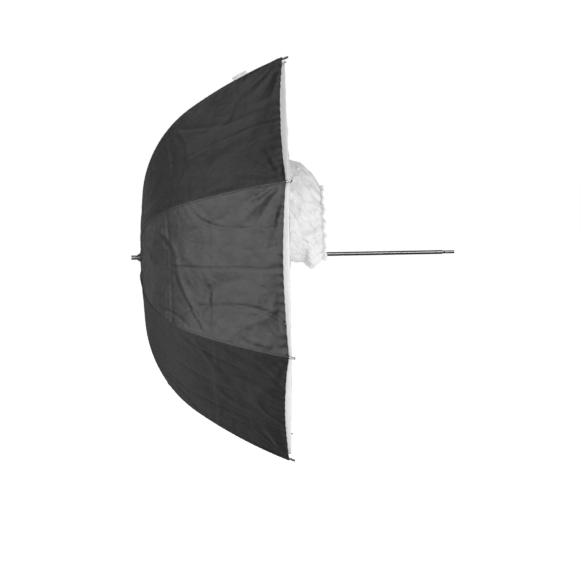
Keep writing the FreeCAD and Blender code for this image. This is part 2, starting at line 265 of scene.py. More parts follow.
# %% [markdown]
# The canopy is one cloth with two faces: a black outside with a slight sheen and a matt white lining.
# Each piece of it is a thin shell, so each face gets its own finish. The weave is two crossed sets of
# fine bands on the cloth's own coordinates, which are laid down in metres when a piece is made. Broad
# clouds make the slight patchiness of coated cloth, and a finer crumple bump carries the small folds that
# are too shallow for the mesh. The sharp creases of a cloth that was packed away are thin wandering
# lines, some raised and some sunken, which come from the places where soft random values pass through
# their middle.

# %% Cloth finishes
WEAVE_BANDS = 380.0  # a thread about every 0.8 mm
BLACK_DEEP, BLACK_WORN = (0.0080, 0.0080, 0.0086), (0.0140, 0.0140, 0.0149)
LINING_SHADE, LINING_BRIGHT = (0.74, 0.74, 0.73), (0.84, 0.84, 0.83)
FRONT_SHADE, FRONT_BRIGHT = (0.76, 0.76, 0.76), (0.85, 0.85, 0.85)
# The sleeve is the same white cloth as the front, painted lighter: painted light that makes the sleeve look
# more brightly lit.
SLEEVE_PAINTED_LIT_LOW, SLEEVE_PAINTED_LIT_HIGH = (0.82, 0.82, 0.82), (0.91, 0.91, 0.91)
THREAD_SHADE, THREAD_BRIGHT = (0.03, 0.03, 0.03), (0.07, 0.07, 0.07)
GLOW_COLOUR = (0.88, 0.88, 0.88, 1.0)
THREAD_DEEP = 0.00012
SUNKEN = -0.45  # a sunken crease, as a share of a raised one


def weave(finish):
    """Fine crossed threads on the cloth coordinates."""
    cloth = finish.node("ShaderNodeUVMap", {"uv_map": "cloth"})
    inputs = {"Vector": cloth, "Scale": WEAVE_BANDS}
    warp = finish.node("ShaderNodeTexWave", {"bands_direction": "X"}, inputs, "Fac")
    weft = finish.node("ShaderNodeTexWave", {"bands_direction": "Y"}, inputs, "Fac")
    return warp * 0.5 + weft * 0.5


def sharp_creases(finish, scale, sharpness):
    """Thin lines that wander over a cloth: 1 on a line and near 0 beside it."""
    return (1 + ((finish.clouds(scale, 2.0) - 0.5) * sharpness) ** 2) ** -1


def cloth_finish(name, shade, bright, roughness, crumple, sheen, see_through=0.0, crease=0.0):
    """Cloth between two colours, with a weave, a crumple and, if crease is given, creases that deep."""
    finish = Finish(name)
    threads = weave(finish)
    patches = finish.clouds(14.0, 4.0)
    creases = finish.clouds(46.0, 6.0)
    colour = finish.between(patches * 0.7 + threads * 0.3, shade, bright)
    normal = finish.relief(creases, crumple)
    if crease:
        normal = finish.relief(sharp_creases(finish, 7.0, 26.0), crease, 1.0, normal)
        normal = finish.relief(sharp_creases(finish, 19.0, 17.0), crease * SUNKEN, 1.0, normal)
    normal = finish.relief(threads, THREAD_DEEP, 0.5, normal)
    body = finish.surface(colour, roughness + creases * 0.16, normal, Sheen_Weight=sheen,
                          Sheen_Roughness=0.4, Specular_IOR_Level=0.45)
    if see_through:
        glow = finish.node("ShaderNodeBsdfTranslucent", None, {"Color": GLOW_COLOUR, "Normal": normal})
        body = finish.node("ShaderNodeMixShader", None, {0: see_through, 1: body, 2: glow})
    return finish.done(body)


black_cloth = cloth_finish("black_canopy_cloth", BLACK_DEEP, BLACK_WORN, roughness=0.36, crumple=0.0018,
                           sheen=0.04, crease=0.0011)
white_lining = cloth_finish("white_canopy_lining", LINING_SHADE, LINING_BRIGHT, roughness=0.72,
                            crumple=0.0010, sheen=0.1)
front_cloth = cloth_finish("white_front_cloth", FRONT_SHADE, FRONT_BRIGHT, roughness=0.74, crumple=0.0014,
                           sheen=0.15, see_through=0.22)
# The sleeve's lighter colours are painted light on the same white cloth as the front.
sleeve_cloth = cloth_finish("white_sleeve_cloth_painted_lighter", SLEEVE_PAINTED_LIT_LOW, SLEEVE_PAINTED_LIT_HIGH, roughness=0.74,
                            crumple=0.0024, sheen=0.15, see_through=0.24, crease=0.0012)
black_thread = cloth_finish("black_thread", THREAD_SHADE, THREAD_BRIGHT, roughness=0.5, crumple=0.0004,
                            sheen=0.0)
print("cloth finishes:", black_cloth.name, white_lining.name, front_cloth.name, sleeve_cloth.name)

# %% [markdown]
# The hard parts keep the CAD's shapes, which are right, and only need finishes. Drawn steel has faint
# lines along its length, plated rods are smooth with a few dull smears, and moulded plastic has a fine
# pebbled grain and patches that are a little shinier from handling.


# %% Hard finishes
DRAWN = (60.0, 900.0, 900.0)  # lines along the shaft
TURNED = (900.0, 60.0, 60.0)  # rings round it
PLATED = (900.0, 90.0, 90.0)
ROD_DULL, ROD_BRIGHT = (0.055, 0.055, 0.06), (0.13, 0.13, 0.14)
TIP_DULL, TIP_BRIGHT = (0.36, 0.36, 0.36), (0.58, 0.57, 0.56)
TIP_REACH = 0.0138  # how far a tip lies along the shaft
MARKS = 0.25  # how much duller handling makes a metal


def metal_finish(name, dull, bright, roughness, lines=DRAWN):
    """Metal with fine lines and soft handling marks."""
    finish = Finish(name)
    drawn = finish.clouds(1.0, 2.0, finish.place(lines))
    smears = finish.clouds(38.0, 5.0)
    colour = finish.between(drawn * 0.6 + smears * 0.4, dull, bright)
    normal = finish.relief(drawn, 0.00006, 0.6)
    return finish.done(finish.surface(colour, roughness + smears * MARKS, normal, Metallic=1.0))


def plastic_finish(name, deep, worn, roughness):
    """Moulded plastic with a fine grain and rubbed patches."""
    finish = Finish(name)
    grain = finish.clouds(1400.0, 2.0)
    rubbed = finish.clouds(60.0, 4.0)
    colour = finish.between(rubbed, deep, worn)
    normal = finish.relief(grain, 0.00008, 0.8)
    return finish.done(finish.surface(colour, roughness + rubbed * -0.18, normal, Specular_IOR_Level=0.5))


def tipped_rod_finish(name, tip_from):
    """A dark rod whose polished tip begins at a place along the shaft."""
    finish = Finish(name)
    drawn = finish.clouds(1.0, 2.0, finish.place(DRAWN))
    smears = finish.clouds(38.0, 5.0)
    place = finish.node("ShaderNodeTexCoord", output="Object")
    along = finish.node("ShaderNodeSeparateXYZ", None, {0: place})
    on_tip = along.math("GREATER_THAN", along, tip_from)
    rod, tip = finish.between(smears, ROD_DULL, ROD_BRIGHT), finish.between(smears, TIP_DULL, TIP_BRIGHT)
    colour = finish.between(on_tip, rod, tip)
    normal = finish.relief(drawn, 0.00005, 0.5)
    return finish.done(finish.surface(colour, 0.27 - on_tip * 0.07 + smears * 0.12, normal, Metallic=1.0))


shaft_steel = metal_finish("satin_shaft_steel", (0.24, 0.24, 0.245), (0.40, 0.40, 0.405), 0.18)
plug_steel = metal_finish("turned_plug_steel", (0.24, 0.24, 0.25), (0.42, 0.42, 0.43), 0.15, TURNED)
ferrule_steel = metal_finish("plated_ferrule", (0.72, 0.72, 0.72), (0.93, 0.92, 0.91), 0.20, PLATED)
rod_steel = metal_finish("dark_plated_rod", ROD_DULL, ROD_BRIGHT, 0.24)
tipped_steel = tipped_rod_finish("rod_with_polished_tip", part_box("rib_outer_1")[1].x - TIP_REACH)
stretcher_steel = metal_finish("plated_stretcher_rod", (0.16, 0.16, 0.17), (0.30, 0.30, 0.31), 0.26)
wire_steel = metal_finish("hinge_wire", (0.35, 0.35, 0.36), (0.55, 0.55, 0.56), 0.25)
catch_steel = metal_finish("sprung_catch_steel", (0.36, 0.36, 0.37), (0.58, 0.58, 0.60), 0.22)
notch_plastic = plastic_finish("crown_notch_plastic", (0.012, 0.012, 0.012), (0.030, 0.030, 0.031), 0.52)
runner_plastic = plastic_finish("runner_plastic", (0.014, 0.014, 0.015), (0.034, 0.034, 0.035), 0.48)
collar_plastic = plastic_finish("collar_plastic", (0.010, 0.010, 0.010), (0.026, 0.026, 0.027), 0.42)

HARD_FINISHES = {"shaft_tube": shaft_steel, "shaft_end_plug": plug_steel, "ferrule": ferrule_steel,
                 "ferrule_collar": collar_plastic, "crown_notch": notch_plastic, "runner": runner_plastic,
                 "crown_wire": wire_steel, "runner_wire": wire_steel, "top_catch": catch_steel,
                 "rib_inner": rod_steel, "rib_mid": rod_steel, "rib_outer": tipped_steel,
                 "stretcher": stretcher_steel}
dressed = 0
for node_name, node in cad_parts.items():
    kind = node_name.rstrip("0123456789").rstrip("_")  # rib_mid_3 is a rib_mid
    if kind in HARD_FINISHES:
        node.data.materials.clear()
        node.data.materials.append(HARD_FINISHES[kind])
        dressed += 1
print("hard nodes with a finish:", dressed)

# %% [markdown]
# All cloth hangs on the ribs, so the ribs' line is needed here too. It is a chain of arcs that starts
# square to the shaft and turns along it towards the tip, given as lengths and angles to the shaft. Along
# an arc the angle changes evenly, so the angle at any distance is an interpolation, and adding up small
# steps in that direction gives the place. The box of the crown's wire gives where the line starts.

# %% The ribs' line
RIB_COUNT = 8
STEP = 2 * math.pi / RIB_COUNT
ARC_ENDS = np.array([0.0, 0.130, 0.250, 0.345, 0.550])
ARC_ANGLES = np.radians([90.0, 84.0, 58.0, 36.0, 23.0])
INNER_END, MID_END, HEM_AT = 0.250, 0.345, 0.5492
CROWN_EDGE = -0.006  # the cloth's hole about the shaft lies inside the hinges

wire_low, wire_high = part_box("crown_wire")
crown_x = (wire_low.x + wire_high.x) / 2
hinge_out = (wire_high.z - wire_low.z) / 2 - (wire_high.x - wire_low.x) / 2
fine = np.linspace(CROWN_EDGE, ARC_ENDS[-1], 2401)
fine_angle = np.interp(fine, ARC_ENDS, ARC_ANGLES)
step_angle = (fine_angle[1:] + fine_angle[:-1]) / 2
fine_x = crown_x + np.concatenate([[0.0], np.cumsum(np.diff(fine) * np.cos(step_angle))])
fine_out = (hinge_out + CROWN_EDGE
            + np.concatenate([[0.0], np.cumsum(np.diff(fine) * np.sin(step_angle))]))


def rib_side(distance, outward):
    """(x, out) beside the rib's line, for arrays of distances."""
    angle = np.interp(distance, fine, fine_angle)
    x = np.interp(distance, fine, fine_x) - outward * np.sin(angle)
    out = np.interp(distance, fine, fine_out) + outward * np.cos(angle)
    return x, out


def outwards(angle):
    """The direction away from the shaft at an angle from the top, towards the camera's side."""
    return np.array([0.0, -math.sin(angle), math.cos(angle)])


def around(angle):
    """The direction of growing angle."""
    return np.array([0.0, -math.cos(angle), -math.sin(angle)])


rib_angles = [STEP * (i + 0.5) for i in range(RIB_COUNT)]
tip_x, tip_out = rib_side(np.array([HEM_AT]), 0.0)
print("rib tips: x", np.round(tip_x, 4), "out", np.round(tip_out, 4))

# %% [markdown]
# Wrinkles are made from smooth random values over a plane, which always come out the same because each
# has a seed. A crease is a narrow ridge: it follows the line where such values pass through zero.


# %% Noise and creases
LATTICE = 64  # the noise repeats after that many units


def smooth_noise(across, down, seed):
    """Smooth random values from -1 to 1, with one random number to a unit square."""
    lattice = np.random.default_rng(seed).uniform(-1, 1, (LATTICE, LATTICE))
    i, j = np.floor(across).astype(int), np.floor(down).astype(int)
    f, g = across - i, down - j
    f, g = f * f * (3 - 2 * f), g * g * (3 - 2 * g)

    def pick(a, b):
        return lattice[a % LATTICE, b % LATTICE]

    near = pick(i, j) * (1 - f) + pick(i + 1, j) * f
    far = pick(i, j + 1) * (1 - f) + pick(i + 1, j + 1) * f
    return near * (1 - g) + far * g


def ridge(value, width):
    """1 where value is 0, falling to nothing over a width."""
    return np.exp(-((value / width) ** 2))


def rise(value, low, high):
    """0 below low, 1 above high and smooth between."""
    share = np.clip((value - low) / (high - low), 0, 1)
    return share * share * (3 - 2 * share)


# %% [markdown]
# A cloth piece is a grid of points that is closed into a thin shell: the grid is its outer face, a copy
# moved inward is its inner face, and a rim joins them. A sheet without thickness would do for a picture,
# but a shell has two real faces, which may have two finishes. Neighbouring pieces are cut from one big
# grid and keep that grid's normals, so that no line shows where they meet.


# %% Grid tools
def grid_normals(points, outside):
    """Unit normals of a grid, turned to the side that outside points to."""
    normal = np.cross(np.gradient(points, axis=1), np.gradient(points, axis=0))
    normal /= np.linalg.norm(normal, axis=2, keepdims=True) + 1e-12
    facing = (normal * outside).sum(axis=2, keepdims=True)
    return normal * np.where(facing.mean() < 0, -1.0, 1.0)


def grid_area(points):
    """The area of a grid of points."""
    down, across = points[1:, :-1] - points[:-1, :-1], points[:-1, 1:] - points[:-1, :-1]
    return float(np.linalg.norm(np.cross(down, across), axis=2).sum())


def shell(name, points, normals, thick, finishes, cloth, inward=None):
    """A closed thin piece from a grid of points. cloth is the grid of (x, y) cloth coordinates. The inner
    face lies against the normals, or against smoother directions where folds are too sharp for that."""
    inward = normals if inward is None else inward
    rows, columns = points.shape[:2]
    count = rows * columns
    at = np.arange(count).reshape(rows, columns)
    quads = np.stack([at[:-1, :-1], at[:-1, 1:], at[1:, 1:], at[1:, :-1]], axis=-1).reshape(-1, 4)
    a, b, c = (points.reshape(-1, 3)[quads[:, k]] for k in (0, 1, 2))
    facing = (np.cross(b - a, c - a) * normals.reshape(-1, 3)[quads[:, 0]]).sum()
    outer = quads if facing > 0 else quads[:, ::-1]
    loop = np.concatenate([at[0, :-1], at[:-1, -1], at[-1, :0:-1], at[:0:-1, 0]])
    loop = loop if facing > 0 else loop[::-1]
    after = np.roll(loop, -1)
    rim = np.stack([loop, loop + count, after + count, after], axis=-1)
    faces = np.concatenate([outer, outer[:, ::-1] + count, rim])
    verts = np.concatenate([points.reshape(-1, 3), (points - inward * thick).reshape(-1, 3)])
    mesh = bpy.data.meshes.new(name)
    mesh.from_pydata(verts.tolist(), [], faces.tolist())
    for finish in finishes:
        mesh.materials.append(finish)
    inner_slot = len(finishes) - 1
    slots = np.concatenate([np.zeros(len(outer)), np.full(len(outer), inner_slot), np.zeros(len(rim))])
    mesh.polygons.foreach_set("material_index", slots.astype(np.int32))
    layer = mesh.uv_layers.new(name="cloth")
    both = np.concatenate([cloth.reshape(-1, 2), cloth.reshape(-1, 2)])
    layer.data.foreach_set("uv", both[faces.reshape(-1)].astype(np.float32).ravel())
    mesh.polygons.foreach_set("use_smooth", np.ones(len(faces), bool))
    flat = np.concatenate([normals.reshape(-1, 3), -normals.reshape(-1, 3)])
    loops = flat[faces.reshape(-1)]
    loops[2 * outer.size:] = 0.0  # the rim keeps Blender's own normals
    mesh.normals_split_custom_set(loops.tolist())
    piece = bpy.data.objects.new(name, mesh)
    bpy.context.scene.collection.objects.link(piece)
    return piece


# %% [markdown]
# A gore is cut so that its edges lie on two ribs, and it is pulled tight, so it is nearly straight from
# rib to rib, with a slight hollow. Its hem curves back between the tips. It is laid out as a grid, whose
# columns run from the crown to the hem and whose rows run from rib to rib. Some rows lie at the two bends
# of the ribs, where the cloth is cut later.

# %% Canopy grid
OFF_ROD = 0.0034  # from a rib's middle to the cloth's outer face
CROWN_CLOTH = 0.0066  # the same on the flat of the crown
CROWN_FLAT, CROWN_BLEND = 0.007, 0.045  # where that flat ends, and where the cloth is down on the ribs
HEM_HOLLOW = 0.0078  # how far the hem curves back between two tips
COLUMNS = 81
INNER_ROWS, MID_ROWS, OUTER_ROWS, LAP_ROWS = 62, 22, 56, 4
LAP = 0.014  # how far a piece reaches under the one above it
u_line = np.linspace(-1, 1, COLUMNS)


def canopy_rows():
    """Distances of the grid's rows from the crown down to the second bend."""
    upper = [np.linspace(CROWN_EDGE, INNER_END - LAP, INNER_ROWS),
             np.linspace(INNER_END - LAP, INNER_END, LAP_ROWS + 1)[1:],
             np.linspace(INNER_END, MID_END - LAP, MID_ROWS)[1:],
             np.linspace(MID_END - LAP, MID_END, LAP_ROWS + 1)[1:]]
    return np.concatenate(upper)


upper_rows = canopy_rows()
lower_rows = np.linspace(0, 1, OUTER_ROWS)[1:]  # shares of the way from there to the hem
hem_line = HEM_AT - HEM_HOLLOW * (1 - u_line ** 2)
s_grid = np.concatenate([np.repeat(upper_rows[:, None], COLUMNS, 1),
                         MID_END + lower_rows[:, None] * (hem_line[None, :] - MID_END)])
u_grid = np.repeat(u_line[None, :], len(s_grid), 0)
row_inner = int(np.argmin(np.abs(upper_rows - INNER_END)))
row_mid = len(upper_rows) - 1


def gore_plain(start_angle):
    """The tight surface from one rib to the next, and half the distance between the ribs at each point."""
    lift = np.interp(s_grid, [CROWN_FLAT, CROWN_BLEND], [CROWN_CLOTH, OFF_ROD])
    x, out = rib_side(s_grid, lift)
    share = (u_grid + 1) / 2
    first, second = outwards(start_angle), outwards(start_angle + STEP)
    points = out[..., None] * ((1 - share)[..., None] * first + share[..., None] * second)
    points[..., 0] = x
    return points, out * math.sin(STEP / 2)


print("points in a gore's grid:", s_grid.size)

# %% [markdown]
# What makes tight cloth look like cloth is small. Sharp creases fan out from the two tips, where the
# cloth is pulled, and short ones run out from the crown, where it is gathered. They are narrow ridges
# about nearly straight lines from the corner or the crown, most of them sunken, each with its own length,
# lean and strength, and they widen with the distance so that the grid can carry them.

# %% Creases of the canopy
FAN_DEEP, FAN_WAVE = 0.0019, 0.0005
FAN_TURNS = np.linspace(0.10, 1.42, 9)  # from the rib towards the hem
CROWN_DEEP = 0.0022
MOSTLY_SUNKEN = [-1.0, -1.0, 1.0]


def fan(across, down, seed):
    """Sharp creases of uneven length that fan out from a corner. across and down are distances from it."""
    draws = np.random.default_rng(seed)
    far = np.hypot(across, down)
    turn = np.arctan2(across, np.maximum(down, 1e-6))
    out = FAN_WAVE * np.sin(turn * 11 + seed) * rise(far, 0.01, 0.05) * (1 - rise(far, 0.06, 0.15))
    for direction in FAN_TURNS:
        direction += draws.uniform(-0.07, 0.07)
        reach, bend = draws.uniform(0.035, 0.17), draws.uniform(-1.2, 1.2)
        beside = far * (turn - direction - bend * far)
        strength = draws.uniform(0.4, 1.0) * draws.choice(MOSTLY_SUNKEN)
        width = 0.0030 + 0.026 * far
        deep = FAN_DEEP * strength * rise(far, 0.008, 0.060)
        out += deep * ridge(beside, width) * (1 - rise(far, 0.4 * reach, reach))
    return out


def crown_creases(across, half, seed):
    """Short sharp creases that run out from the crown, where the cloth is gathered under the collar."""
    draws = np.random.default_rng(seed)
    out = np.zeros_like(across)
    for place in np.linspace(-0.8, 0.8, 6):
        start, lean = (place + draws.uniform(-0.1, 0.1)) * half, draws.uniform(-0.35, 0.35)
        reach = draws.uniform(0.06, 0.16)
        strength = draws.uniform(0.4, 1.0) * draws.choice(MOSTLY_SUNKEN)
        fade = rise(s_grid, 0.018, 0.05) * (1 - rise(s_grid, 0.5 * reach, reach))
        beside = across - start - lean * (s_grid - 0.02)
        out += CROWN_DEEP * strength * fade * ridge(beside, 0.0028 + 0.02 * s_grid)
    return out


print("creases that fan out from a tip:", len(FAN_TURNS))

# %% [markdown]
# The other small shapes are slack, which is soft noise, puckers along the seams and ripples along the
# hem, where stitching draws the cloth in, and the creases of folding, which lie across each gore, down
# its middle and at random. All of it is added up as one height over the tight surface, and it fades out
# at the ribs, where the cloth is held.

# %% Canopy surface
HOLLOW = 0.0035  # how far a gore sinks between its ribs
SLACK_HIGH, FINE_HIGH, CROWN_FOLD_HIGH = 0.0018, 0.0007, 0.0023
PUCKER_HIGH, PUCKER_REACH = 0.0008, 0.011
RIPPLE_HIGH, RIPPLE_REACH = 0.0009, 0.016
HEM_BAND, HEM_BAND_HIGH = 0.009, 0.0004  # the turned and sewn hem
RANDOM_FOLDS, RANDOM_FOLD_HIGH = 5, 0.0014


def slack_and_edges(across, to_seam, seed):
    """Soft slack, the puckers along the seams, the hem's ripples and the gathers at the crown."""
    broad = smooth_noise(across * 9 + 3, s_grid * 7, seed + 1)
    out = SLACK_HIGH * (broad + 0.5 * smooth_noise(across * 24, s_grid * 17, seed + 2))
    pucker = np.sin(s_grid * 400 + 2.5 * smooth_noise(s_grid * 30, across * 8, seed + 5))
    uneven = 0.55 + 0.45 * smooth_noise(s_grid * 20, u_grid, seed + 6)
    out += PUCKER_HIGH * pucker * np.exp(-to_seam / PUCKER_REACH) * uneven
    ripple = np.sin(across * 330 + 3 * smooth_noise(across * 24, s_grid * 9, seed + 7))
    out += RIPPLE_HIGH * ripple * np.exp(-(hem_line[None, :] - s_grid) / RIPPLE_REACH)
    gathers = np.sin(u_grid * 11 + 2.2 * smooth_noise(s_grid * 26, u_grid * 2, seed + 8))
    near_crown = rise(s_grid, 0.016, 0.04) * (1 - rise(s_grid, 0.07, 0.165))
    out += CROWN_FOLD_HIGH * gathers * near_crown * (1 - u_grid ** 2) ** 0.4
    fine_lines = smooth_noise(across * 40, s_grid * 13, seed + 50)
    return out + FINE_HIGH * fine_lines * smooth_noise(across * 6, s_grid * 6, seed + 51)


def folding_creases(across, to_seam, seed):
    """The creases of a folded gore: three across it, one down its middle and some at random."""
    drift = smooth_noise(across * 12, s_grid * 5, seed + 9)
    kinks = 0.00004 / (0.002 + np.abs(drift))
    out = 0.0013 * ridge(s_grid - 0.262 - 0.004 * drift - kinks, 0.0034)
    out -= 0.0011 * ridge(s_grid - 0.283 - 0.005 * drift, 0.0040)
    out += 0.0006 * ridge(s_grid - 0.392 + 0.005 * drift, 0.0036)
    out -= 0.0011 * ridge(across - 0.002 * drift, 0.0021) * rise(s_grid, 0.26, 0.32)
    for k in range(RANDOM_FOLDS):
        line = smooth_noise(across * 7 + 11 * k, s_grid * 4.5 + 5 * k, seed + 30 + k)
        high = RANDOM_FOLD_HIGH if k % 2 else -RANDOM_FOLD_HIGH
        out += high * ridge(line, 0.045) * rise(s_grid, 0.05, 0.12) * rise(to_seam, 0.0, 0.03)
    return out


def gore_relief(number, half):
    """How far each point of a gore stands out of its tight surface."""
    seed = 100 * number
    across = u_grid * half  # metres from the gore's middle line
    to_seam = half - np.abs(across)
    out = slack_and_edges(across, to_seam, seed) + folding_creases(across, to_seam, seed)
    for side, corner_seed in ((-1, seed + 3), (1, seed + 4)):
        out += fan(half - side * across, HEM_AT - s_grid, corner_seed)
    out += crown_creases(across, half, seed + 60)
    return out * rise(to_seam, 0.0, 0.006) * rise(s_grid, 0.010, 0.03)


def gore_grid(number, start_angle):
    """A gore's tight surface, its finished points and normals, its cloth coordinates, its tight normals."""
    plain, half = gore_plain(start_angle)
    centre = outwards(start_angle + STEP / 2)
    normal = grid_normals(plain, centre + np.array([-1.0, 0, 0]))
    sink = HOLLOW * (1 - u_grid ** 2) * rise(s_grid, 0.02, 0.2) * (1 - rise(s_grid, 0.42, 0.525))
    hem_band = HEM_BAND_HIGH * rise(s_grid - hem_line[None, :] + HEM_BAND, 0.0, 0.0015)
    points = plain + normal * (gore_relief(number, half) - sink + hem_band)[..., None]
    cloth = np.stack([u_grid * half, s_grid], axis=-1)
    return plain, points, grid_normals(points, normal), cloth, normal


gore_grids = [gore_grid(i + 1, rib_angles[i]) for i in range(RIB_COUNT)]
print("flat area of a gore:", round(grid_area(gore_grids[0][0]), 4), "m2")

# %% [markdown]
# A folding umbrella's ribs bend in three lengths here, and cloth that crosses a bend would tear away from
# one of them. So each gore is cut along its middle and at the two bends, into six pieces that each ride
# the rib length beside them. Folding gathers the cloth against the ribs, but nothing here squashes the
# pieces towards their ribs. Each lower piece also reaches a little under the one above it, which hides
# the gap that a bend opens.

# %% Canopy pieces
CLOTH_THICK = 0.0005
LAP_SINK = 0.0009  # how much deeper the end of a lap lies
# The word for a length, its first and last row, and what folding leaves of its width.
LENGTHS = [("inner", 0, row_inner, 0.34), ("mid", row_inner, row_mid, 0.13),
           ("outer", row_mid, len(s_grid) - 1, 0.09)]


def squash_beside_rib(piece, rib_angle, across, first, last):
    """Finds the direction across the gore and square to the rib's length, and gives the piece a mesh of its
    own.
    """
    x, out = rib_side(np.array([first, last]), OFF_ROD)
    ends = out[:, None] * outwards(rib_angle)[None, :]
    ends[:, 0] = x
    along = ends[1] - ends[0]
    along /= np.linalg.norm(along)
    axis = across - (across @ along) * along
    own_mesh(piece)


def canopy_piece(number, side, part):
    """One of the six pieces of a gore. side is 0 for the rib that it starts at and 1 for the next."""
    word, first, last, keep = part
    plain, points, normals, cloth, tight = gore_grids[number - 1]
    rib = (number - 1 + side) % RIB_COUNT
    lap = LAP_ROWS if first else 0
    rows = slice(first - lap, last + 1)
    columns = slice(COLUMNS // 2, COLUMNS) if side else slice(0, COLUMNS // 2 + 1)
    sunk = points[rows, columns].copy()
    depth = np.zeros(len(sunk))
    depth[:lap] = np.linspace(1, 0, lap, endpoint=False)
    sunk -= normals[rows, columns] * (depth[:, None, None] ** 0.5) * LAP_SINK
    piece = shell(f"canopy_cloth_{number}_{'ab'[side]}_{word}", sunk, normals[rows, columns], CLOTH_THICK,
                  [black_cloth, white_lining], cloth[rows, columns], tight[rows, columns])
    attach(piece, f"{word}_rib_{rib + 1}")
    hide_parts(f"canopy_gore_{number}")
    across = around(rib_angles[number - 1] + STEP / 2)
    squash_beside_rib(piece, rib_angles[rib], across, s_grid[first, 0], s_grid[last, 0])
    wide = float(np.ptp(cloth[rows, columns, 0]))
    long = float(np.ptp(cloth[rows, columns, 1]))
    min(grid_area(plain[rows, columns]), wide * long)
    return piece


canopy = [canopy_piece(number, side, part) for number in range(1, RIB_COUNT + 1) for side in (0, 1)
          for part in LENGTHS]
print("canopy pieces:", len(canopy))

# %% [markdown]
# Two gores meet over each rib in a felled seam: the edges are folded into each other and sewn down with
# two rows of stitches. It shows as a narrow raised band with a ridge in its middle. It is made as a strip
# with a roof-shaped section that follows both gores.

# %% Seam bands
SEAM_HALF, SEAM_RISE, SEAM_THICK = 0.0038, 0.0006, 0.0004
SEAM_EDGE, SEAM_TOP = 0.0001, 0.0003  # how far its edges stand off the cloth, and its middle off its sides
SEAM_START, SEAM_STOP = 0.012, HEM_AT - 0.001
SEAM_LENGTHS = [("inner", SEAM_START, INNER_END), ("mid", INNER_END, MID_END), ("outer", MID_END, SEAM_STOP)]


def seam_section(distance, angle):
    """Points across a seam band at distances along a rib, and the directions out of its two sides."""
    lift = np.interp(distance, [CROWN_FLAT, CROWN_BLEND], [CROWN_CLOTH, OFF_ROD])
    x, out = rib_side(distance, lift)
    ridge_line = out[:, None] * outwards(angle)[None, :]
    ridge_line[:, 0] = x
    slope = np.interp(distance, fine, fine_angle)
    sides = []
    for turn in (-STEP / 2, STEP / 2):
        normal = np.cos(slope)[:, None] * outwards(angle + turn)[None, :]
        normal[:, 0] = -np.sin(slope) * math.cos(STEP / 2)
        normal /= np.linalg.norm(normal, axis=1, keepdims=True)
        sides.append((math.copysign(1, turn) * around(angle + turn), normal))
    return ridge_line, sides


def seam_strip(rib, word, first, last):
    """The band over one length of a rib."""
    distance = np.linspace(first, last, max(8, int((last - first) / 0.004)))
    line, sides = seam_section(distance, rib_angles[rib])
    middle = sides[0][1] + sides[1][1]
    middle /= np.linalg.norm(middle, axis=1, keepdims=True)
    uneven = 0.0002 * np.sin(distance * 900 + rib)[:, None]
    halves = []
    for way, up in sides:
        halves.append([line + way * SEAM_HALF + up * SEAM_EDGE,
                       line + way * SEAM_HALF * 0.92 + up * SEAM_RISE,
                       line + way * SEAM_HALF * 0.3 + up * (SEAM_RISE + SEAM_EDGE + uneven)])
    top = line + middle * (SEAM_RISE + SEAM_TOP + uneven)
    points = np.stack(halves[0] + [top] + halves[1][::-1], axis=1)
    normals = grid_normals(points, middle[:, None, :])
    over = np.linspace(0, 2 * SEAM_HALF, points.shape[1])
    cloth = np.stack(np.broadcast_arrays(over[None, :], distance[:, None]), axis=-1)
    strip = shell(f"seam_{rib + 1}_{word}", points, normals, SEAM_THICK, [black_cloth], cloth)
    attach(strip, f"{word}_rib_{rib + 1}")
    long, wide = float(last - first), 2 * SEAM_HALF
    f"rib_{word}_{rib + 1}"
    return strip


print("lengths of seam:", RIB_COUNT * len(SEAM_LENGTHS))

# %% [markdown]
# Each stitch is a short thread that lies on the band. It is a tube with four sides and four rings, thin
# at both ends, where the thread goes into the cloth. All the stitches of one length of a seam are one
# mesh, because thousands of objects would be slow to handle. Each length gets its band and then its
# stitches.

# %% Stitches
STITCH_OUT, STITCH_LONG, STITCH_STEP, STITCH_R = 0.0026, 0.0022, 0.0033, 0.00022
STITCH_RINGS = ((-0.5, 0.35), (-0.2, 1.0), (0.2, 1.0), (0.5, 0.35))  # place along it, share of its radius
STITCH_SIDES = 4


def stitches(name, places, directions, ups, body):
    """Short threads with tapered ends, all in one mesh."""
    side = np.cross(directions, ups)
    verts, faces = [], []
    for place, along, up, across in zip(places, directions, ups, side):
        base = len(verts)
        for share, size in STITCH_RINGS:
            centre = place + along * STITCH_LONG * share
            for turn in range(STITCH_SIDES):
                swing = math.pi / 2 * turn + math.pi / 4
                aside = across * math.cos(swing) + up * (math.sin(swing) + 0.7)
                verts.append(centre + aside * STITCH_R * size)
        for ring in range(len(STITCH_RINGS) - 1):
            start = base + STITCH_SIDES * ring
            for turn in range(STITCH_SIDES):
                a, b = start + turn, start + (turn + 1) % STITCH_SIDES
                faces.append((a, b, b + STITCH_SIDES, a + STITCH_SIDES))
        faces.append((base + 3, base + 2, base + 1, base))
        faces.append((base + 12, base + 13, base + 14, base + 15))
    mesh = bpy.data.meshes.new(name)
    mesh.from_pydata(verts, [], faces)
    mesh.materials.append(black_thread)
    mesh.uv_layers.new(name="cloth")
    mesh.polygons.foreach_set("use_smooth", np.ones(len(faces), bool))
    piece = bpy.data.objects.new(name, mesh)
    bpy.context.scene.collection.objects.link(piece)
    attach(piece, body)
    return piece


def seam_stitches(rib, word, first, last):
    """Two rows of stitches along a seam band."""
    distance = np.arange(first + 0.002, last - 0.002, STITCH_STEP)
    line, sides = seam_section(distance, rib_angles[rib])
    ahead, _ = seam_section(distance + 0.001, rib_angles[rib])
    direction = (ahead - line) / np.linalg.norm(ahead - line, axis=1, keepdims=True)
    places = np.concatenate([line + way * STITCH_OUT + up * SEAM_RISE for way, up in sides])
    ups = np.concatenate([up for _, up in sides])
    return stitches(f"seam_stitches_{rib + 1}_{word}", places, np.concatenate([direction] * 2), ups,
                    f"{word}_rib_{rib + 1}")


